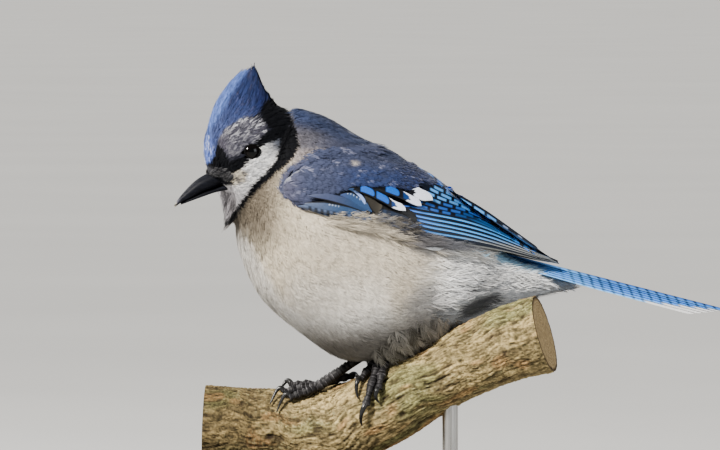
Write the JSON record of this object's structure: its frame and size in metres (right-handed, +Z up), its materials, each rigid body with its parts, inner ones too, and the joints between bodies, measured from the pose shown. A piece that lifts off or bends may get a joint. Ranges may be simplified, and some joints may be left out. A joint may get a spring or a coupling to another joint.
{
  "type": "perched bird model",
  "caption": "Life-size still model of a blue jay with raised crest and folded wings, perched on a short cut length of branch held by a plain stand.",
  "frame": {"origin": "centre of the stand base's underside", "axes": "+Z up; +X along the length, from the bill towards the tail, so the bird heads towards -X and is turned a little towards -Y; -Y is the side the bird's left side faces"},
  "size_m": [0.2468, 0.104, 0.222],
  "materials": {
    "trunk": "soft feathers",
    "neck": "soft feathers",
    "head": "soft feathers",
    "crest": "soft feathers",
    "wing": "feather vanes with a slight sheen",
    "tail": "feather vanes with a slight sheen",
    "bill": "smooth horn",
    "eye": "wet gloss",
    "leg": "scaled skin",
    "claw": "smooth horn",
    "bark": "weathered bark with lichen",
    "base": "dark satin lacquer",
    "rod": "satin"
  },
  "bodies": {
    "root": {"trunk": "trunk", "neck": "neck", "head": "head", "crest": "crest", "wing_left": "wing", "wing_right": "wing", "tail": "tail", "bill_upper": "bill", "bill_lower": "bill", "eye_left": "eye", "eye_right": "eye", "leg_left": "leg", "leg_right": "leg", "claw_left_inner": "claw", "claw_left_middle": "claw", "claw_left_outer": "claw", "claw_left_hind": "claw", "claw_right_inner": "claw", "claw_right_middle": "claw", "claw_right_outer": "claw", "claw_right_hind": "claw", "perch": "bark", "stand_base": "base", "stand_rod_front": "rod", "stand_rod_back": "rod"}
  },
  "joints": []
}
